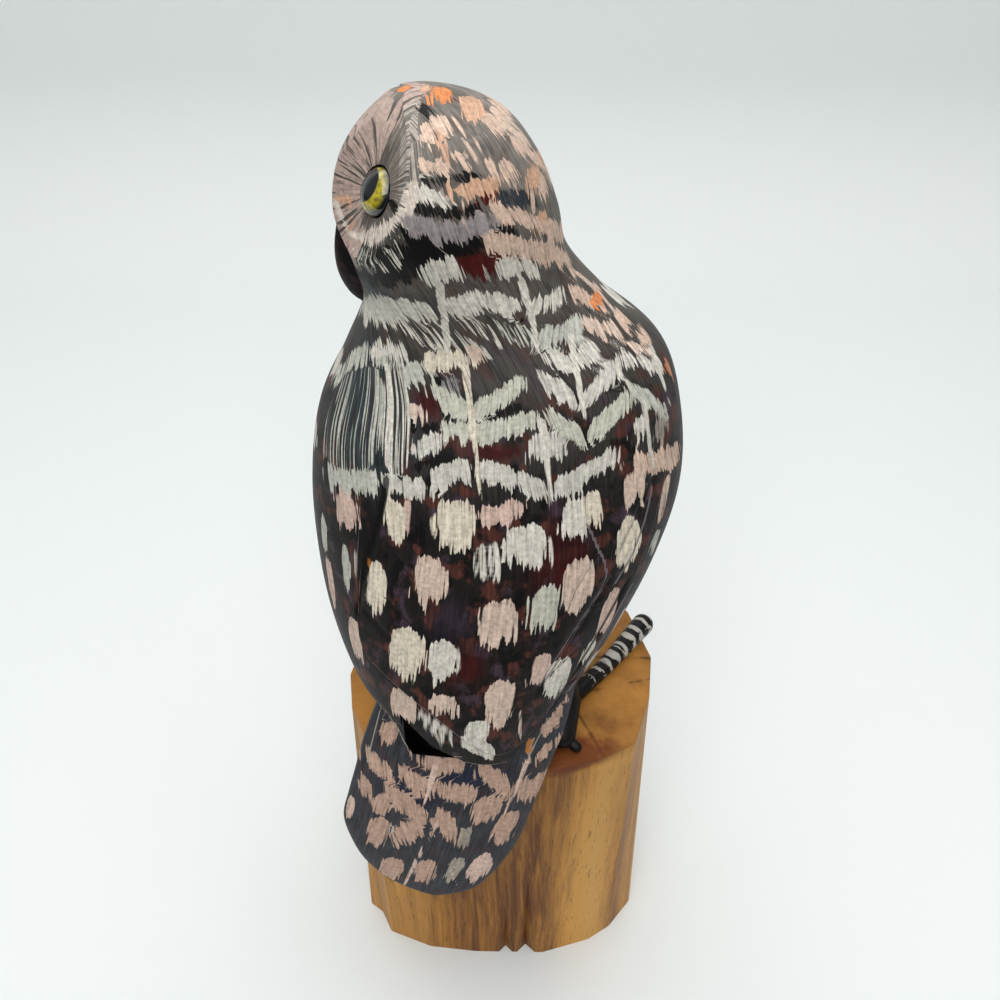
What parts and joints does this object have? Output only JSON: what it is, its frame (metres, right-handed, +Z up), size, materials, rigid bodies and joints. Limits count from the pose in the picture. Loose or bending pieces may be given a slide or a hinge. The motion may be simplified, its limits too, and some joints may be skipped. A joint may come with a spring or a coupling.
{
  "type": "carved wooden owl",
  "caption": "Carved and painted wooden owl standing on a plain log stump, wings folded, head turned over its shoulder, tail hanging down behind.",
  "frame": {"origin": "centre of the stump's flat underside", "axes": "+Z up, +Y out of the owl's back, +X towards the side the head is turned to"},
  "size_m": [0.0701, 0.0734, 0.1997],
  "materials": {
    "stump_wood": "thin satin varnish over golden-brown wood",
    "painted_wood": "semi-gloss black-brown paint with cream and pink brushed feather marks",
    "eye_glass": "glossy yellow eye with a dark pupil",
    "painted_foot": "semi-gloss black paint with white bands"
  },
  "bodies": {
    "root": {"stump": "stump_wood", "owl": "painted_wood", "left_eye": "eye_glass", "right_eye": "eye_glass", "right_foot": "painted_foot", "left_foot": "painted_foot"}
  },
  "joints": []
}
